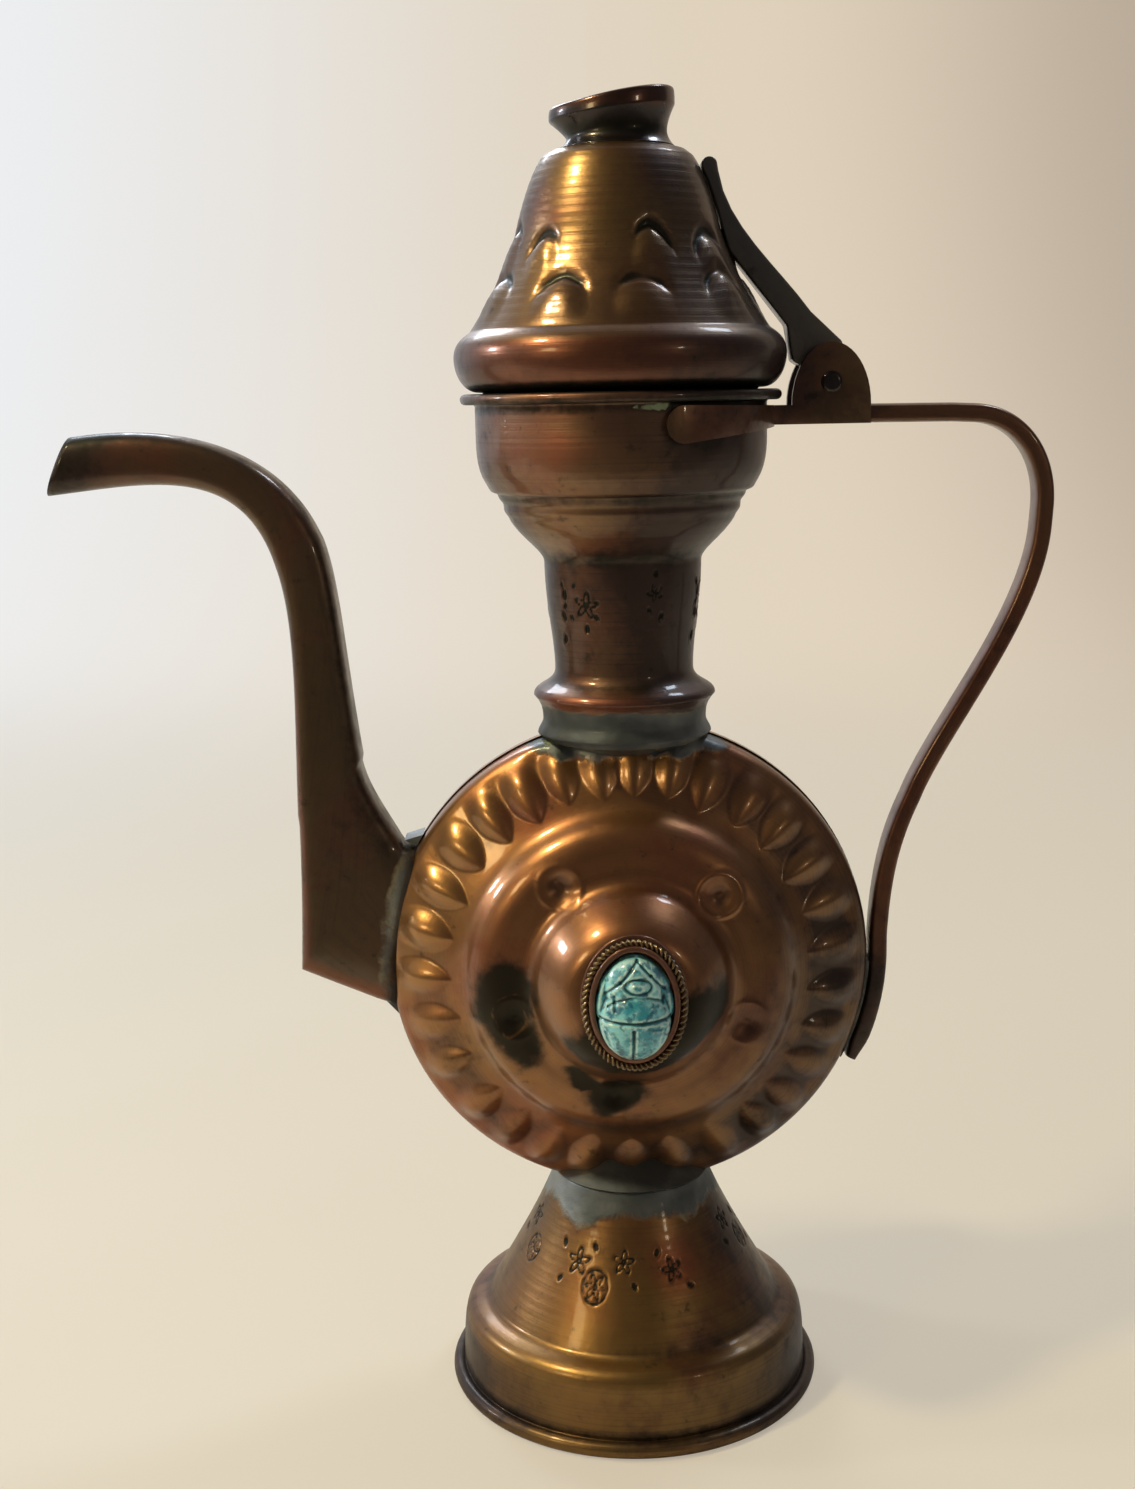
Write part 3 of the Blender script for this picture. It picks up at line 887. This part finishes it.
# Each wire is a circle carried along the oval, off its line by STRAND_OFF at an angle that grows
# with the way round.
strands = []
for phase in (0, math.pi):
    line = np.concatenate([HALF_WIDE * np.sin(strand_t), HALF_TALL * np.cos(strand_t)], 1)
    outwards = np.concatenate([np.sin(strand_t) * HALF_TALL, np.cos(strand_t) * HALF_WIDE], 1)
    outwards /= np.linalg.norm(outwards, axis=1, keepdims=True)
    twist = TWISTS * strand_t + phase
    t = np.linspace(0, 2 * math.pi, 10, endpoint=False)[None, :]
    off = STRAND_OFF * np.cos(twist) + STRAND_R * np.cos(t)
    rise = STRAND_OFF * np.sin(twist) + STRAND_R * np.sin(t)
    grid = np.stack([line[:, :1] + outwards[:, :1] * off, -PLATE_FACE - ROPE_R - rise,
                     BODY_Z + line[:, 1:] + outwards[:, 1:] * off], -1)
    strands.append(surface("rope_strand_%d" % len(strands), grid, True,
                           {"relief": 1.4 * ramp(rise, -0.2, 0.5) - 0.5, "patch": 0.12 + 0 * rise}))
for piece in strands:
    fit(piece, "rope_ring", "ewer", BRASS)

# ---------------------------------------------------------------------------------------------
# The scarab. Moulded faience with a turquoise glaze that has pooled dark in the cut lines:
# a notched head, a domed thorax, two wing cases and the legs along the sides. It lies on the
# setting's plate, inside the bezel.

SCARAB_HALF_WIDE, SCARAB_HALF_TALL, SCARAB_EDGE = 6.4, 8.9, 1.4
rows, cols = 150, 220
q = np.linspace(0, 1, rows)[:, None]
t = np.linspace(0, 2 * math.pi, cols, endpoint=False)[None, :]
sx, sz = SCARAB_HALF_WIDE * q * np.sin(t), SCARAB_HALF_TALL * q * np.cos(t)


def stroke(x, z, start, end, width):
    """A cut from start to end: a bell curve of the distance to the line between them."""
    dx, dz = end[0] - start[0], end[1] - start[1]
    t = np.clip(((x - start[0]) * dx + (z - start[1]) * dz) / (dx * dx + dz * dz), 0, 1)
    return bell_curve(np.hypot(x - start[0] - t * dx, z - start[1] - t * dz), 0, width)


def scarab_height(x, z):
    """Height over the base: a domed oval back and a lower head, with a small raised shield on the
    head, minus the cut lines."""
    edge = np.hypot(x / SCARAB_HALF_WIDE, z / SCARAB_HALF_TALL)
    back = 3.9 * np.sqrt(np.clip(1 - (x / 5.9) ** 2 - ((z + 2.0) / 6.9) ** 2, 0, 1))
    head = 3.3 * np.sqrt(np.clip(1 - (x / 5.0) ** 2 - ((z - 3.4) / 5.2) ** 2, 0, 1))
    h = np.maximum(np.maximum(back, head), 0.8 * (1 - ramp(edge, 0.90, 1.0)))
    shield = np.hypot((x - 0.5) / 1.7, (z - 4.3) / 1.0)
    h = h + 0.45 * (1 - ramp(shield, 0.5, 1.0)) - 0.45 * bell_curve(shield, 1.25, 0.22)
    h = h - 0.60 * bell_curve(z, 0.012 * x * x - 1.7, 0.28) * (np.abs(x) < 5.9)
    h = h - 0.35 * bell_curve(z, 2.6 - 0.07 * (x - 0.5) ** 2, 0.26) * (np.abs(x) < 4.6)
    for start, end, deep in [((-0.3, -3.0), (-0.4, -8.6), 0.60), ((0.4, 8.2), (-2.3, 4.9), 0.45),
                             ((0.4, 8.2), (2.6, 5.8), 0.45), ((-2.4, 5.0), (-4.8, 2.8), 0.45),
                             ((2.6, 5.9), (4.8, 3.4), 0.40), ((-3.4, 2.6), (-3.3, 0.2), 0.40),
                             ((4.4, 3.6), (4.6, 1.2), 0.40), ((-4.9, -3.4), (-4.2, -6.0), 0.30),
                             ((4.9, -3.2), (4.4, -5.6), 0.30), ((2.2, -2.6), (4.4, -2.9), 0.25)]:
        h = h - deep * stroke(x, z, start, end, 0.25)
    return h + 0.13 * noise(x, z, seed=31, waves=5) * (1 - ramp(edge, 0.9, 1.0))


notch = 1 - 0.10 * ramp(sz, 4.5, 8.5) \
    - (0.085 * bell_curve(sz, -1.7, 0.6) + 0.05 * bell_curve(sz, 2.9, 0.6)) * ramp(q, 0.7, 1.0)
sx = sx * notch
lift = scarab_height(sx, sz)
NEARBY = 0.45       # mm: a point lower than its four neighbours that far away lies in a cut
cut = lift - (scarab_height(sx, sz + NEARBY) + scarab_height(sx, sz - NEARBY)
              + scarab_height(sx + NEARBY, sz) + scarab_height(sx - NEARBY, sz)) / 4
base_q = np.array([1.0, 1.0, 0.0])[:, None]
under = np.array([0.7, 0.0, 0.0])[:, None] * np.ones((1, cols))
gx = np.vstack([sx, SCARAB_HALF_WIDE * base_q * np.sin(t) * notch[-1:]])
gz = np.vstack([sz, SCARAB_HALF_TALL * base_q * np.cos(t)])
gy = np.vstack([SCARAB_EDGE + lift, under])
scarab = surface("scarab_back", np.stack([gx, -PLATE_FACE - gy, BODY_Z + gz], -1), False,
                 {"cut": np.vstack([cut, under * 0])})
glaze, w = blank("turquoise glaze")
spot = w.add("TexCoord", {}, {}, out="Object")
blotch = w.add("TexNoise", {}, {"Vector": spot, "Scale": 320.0, "Detail": 5.0, "Roughness": 0.6})
grain = w.add("TexNoise", {}, {"Vector": spot, "Scale": 1500.0, "Detail": 4.0, "Roughness": 0.6})
pooled = w.add("Attribute", {"attribute_name": "cut"}, {}, out="Fac")
flecks = w.add("TexNoise", {}, {"Vector": spot, "Scale": 620.0, "Detail": 4.0, "Roughness": 0.55})
colour = blotch.step(0.40, 0.60).mix((0.04, 0.34, 0.50), (0.26, 0.74, 0.88))
colour = ((pooled * 5.0 + grain - 0.5).step(0.05, 0.7) * 0.7).mix(colour, (0.62, 0.90, 0.90))
colour = (flecks.step(0.50, 0.64) * 0.85).mix(colour, (0.016, 0.14, 0.26))
colour = ((pooled * -4.5 + grain * 0.5).step(0.30, 1.20) * 0.90).mix(colour, (0.02, 0.06, 0.07))
bump = w.add("Bump", {}, {"Strength": 0.4, "Distance": 0.0002, "Height": grain})
body = w.add("BsdfPrincipled", {}, {"Base Color": colour, "Roughness": 0.22 + grain * 0.2,
                                    "Coat Weight": 0.8, "Coat Roughness": 0.12, "Normal": bump})
w.add("OutputMaterial", {}, {"Surface": body})
fit(scarab, "scarab", "ewer", glaze)

# ---------------------------------------------------------------------------------------------
# The small fittings: hinge plates cut from strap, the pin, the black lever, the setting's plate and
# bezel, and the solder. Each keeps its workshop shape, with its edges worn round.


def worn(node, body_name, width, material):
    """A copy of the CAD piece, merged into one skin, whose edges a bevel rounds off by width mm."""
    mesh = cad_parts[node].data.copy()
    made = put(node + "_worn", mesh)
    shape = bmesh.new()
    shape.from_mesh(mesh)
    bmesh.ops.remove_doubles(shape, verts=shape.verts, dist=2e-6)
    bmesh.ops.dissolve_limit(shape, angle_limit=math.radians(1), verts=shape.verts,
                             edges=shape.edges)
    for face in shape.faces:
        face.smooth = True
    shape.to_mesh(mesh)
    shape.free()
    round_off = made.modifiers.new("worn edges", "BEVEL")
    round_off.width, round_off.segments, round_off.limit_method = width / 1000, 3, "ANGLE"
    round_off.angle_limit, round_off.harden_normals = math.radians(28), True
    fit(made, node, body_name, material)


BLACK = aged_metal("black bronze", (0.165, 0.160, 0.150), (0.140, 0.136, 0.128),
                   (0.170, 0.140, 0.120), ring_rate=0.0, ring_depth=0.0, rough=0.46, gloom=0.3,
                   dents=1.6)
worn("lid_lever", "lid", 0.5, BLACK)
PLATE = aged_metal("hammered plate", (0.180, 0.090, 0.052), (0.180, 0.104, 0.052),
                   (0.26, 0.090, 0.042), ring_rate=0.0, ring_depth=0.0, rough=0.38, gloom=1.0,
                   dents=3.0)
worn("bracket_front", "ewer", 0.45, PLATE)
worn("bracket_back", "ewer", 0.45, PLATE)
worn("hinge_pin", "ewer", 0.25, SMOKED)
worn("setting", "ewer", 0.2, BRONZE)
TIN = aged_metal("grey solder", (0.085, 0.098, 0.108), (0.070, 0.078, 0.085),
                 (0.060, 0.052, 0.045), ring_rate=0.0, ring_depth=0.0, rough=0.42, solder=1.0)
for node, finish in (("foot_solder", TIN), ("seam_solder", FLASK), ("neck_solder", TIN),
                     ("spout_solder", TIN), ("handle_solder", TIN)):
    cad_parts[node].data.materials.clear()
    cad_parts[node].data.materials.append(finish)
